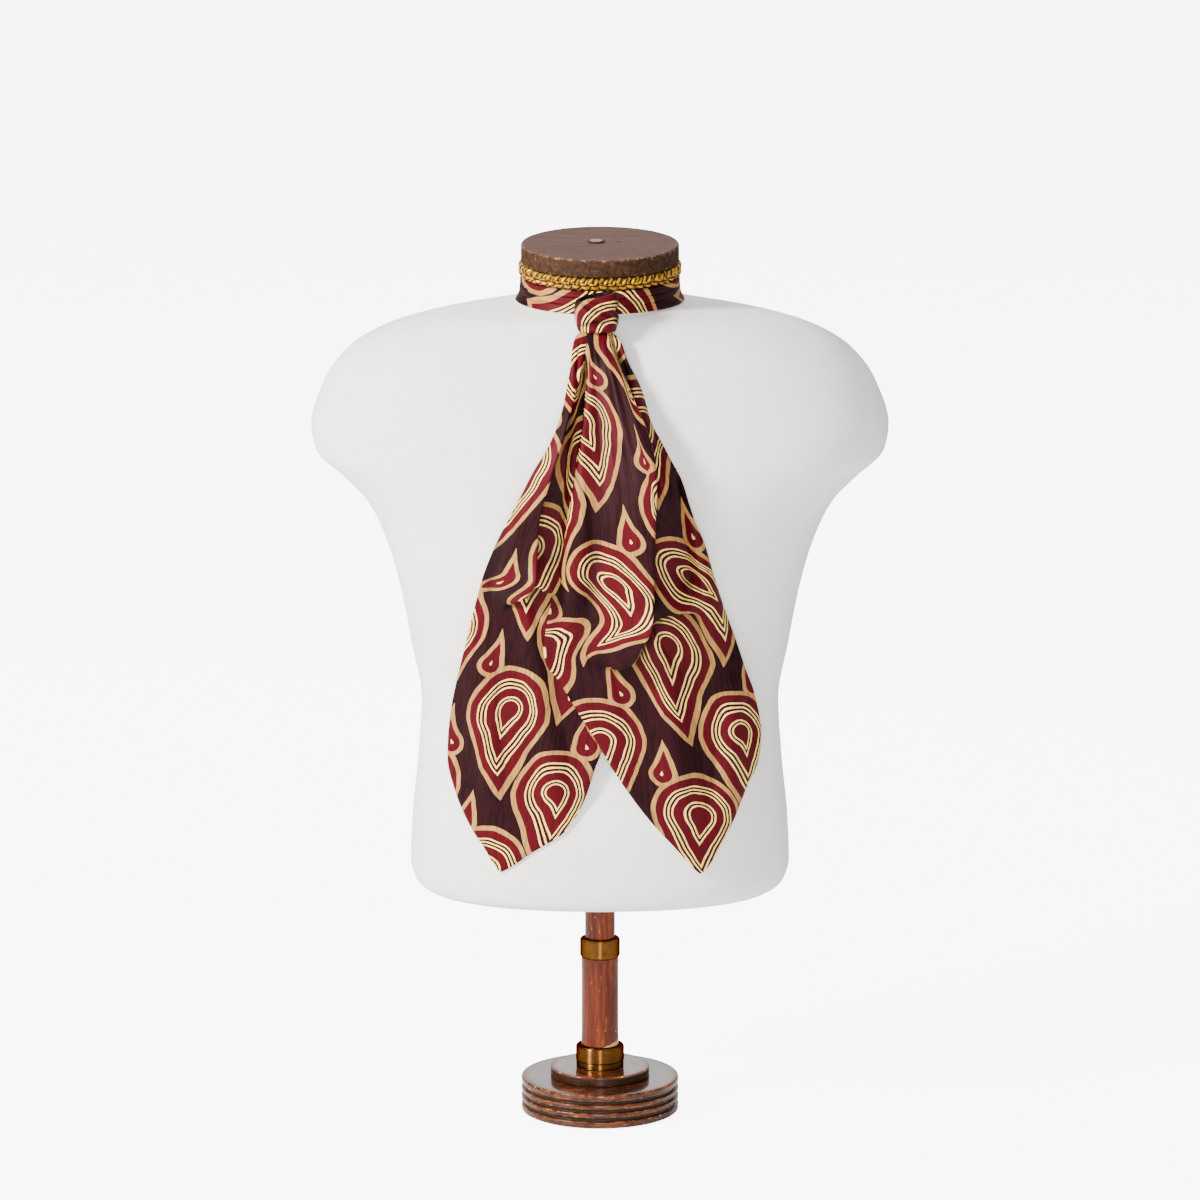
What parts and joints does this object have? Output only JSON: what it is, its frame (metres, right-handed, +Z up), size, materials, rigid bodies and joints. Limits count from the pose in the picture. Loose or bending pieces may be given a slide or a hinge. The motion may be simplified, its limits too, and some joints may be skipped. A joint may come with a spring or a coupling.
{
  "type": "cravat on a dress form",
  "caption": "Printed silk cravat tied in a small knot with overlapping pointed blades, on a limbless dress form with a turned wooden stand.",
  "frame": {"origin": "centre of the underside of the round base, where the form stands", "axes": "+Z up through the stand and neck, -Y the front of the form where the knot and blades hang, +X to the right seen from the front"},
  "size_m": [0.4472, 0.2387, 0.6967],
  "materials": {
    "silk": "printed silk twill, soft sheen",
    "cotton": "plain woven cotton cover, matt",
    "cap_wood": "worn satin lacquer",
    "braid": "gilt metallic braid",
    "column_wood": "reddish lacquer, scratched",
    "base_wood": "dark gloss lacquer, chipped at the edges",
    "brass": "aged satin"
  },
  "bodies": {
    "root": {"front_blade": "silk", "under_blade": "silk", "knot_wrap": "silk", "knot_core": "silk", "neck_band": "silk", "torso": "cotton", "neck_cap": "cap_wood", "cap_plug": "cap_wood", "neck_braid": "braid", "upper_post": "base_wood", "upper_ferrule": "brass", "column": "column_wood", "lower_ferrule": "brass", "base_step": "base_wood", "base_disc": "base_wood"}
  },
  "joints": []
}
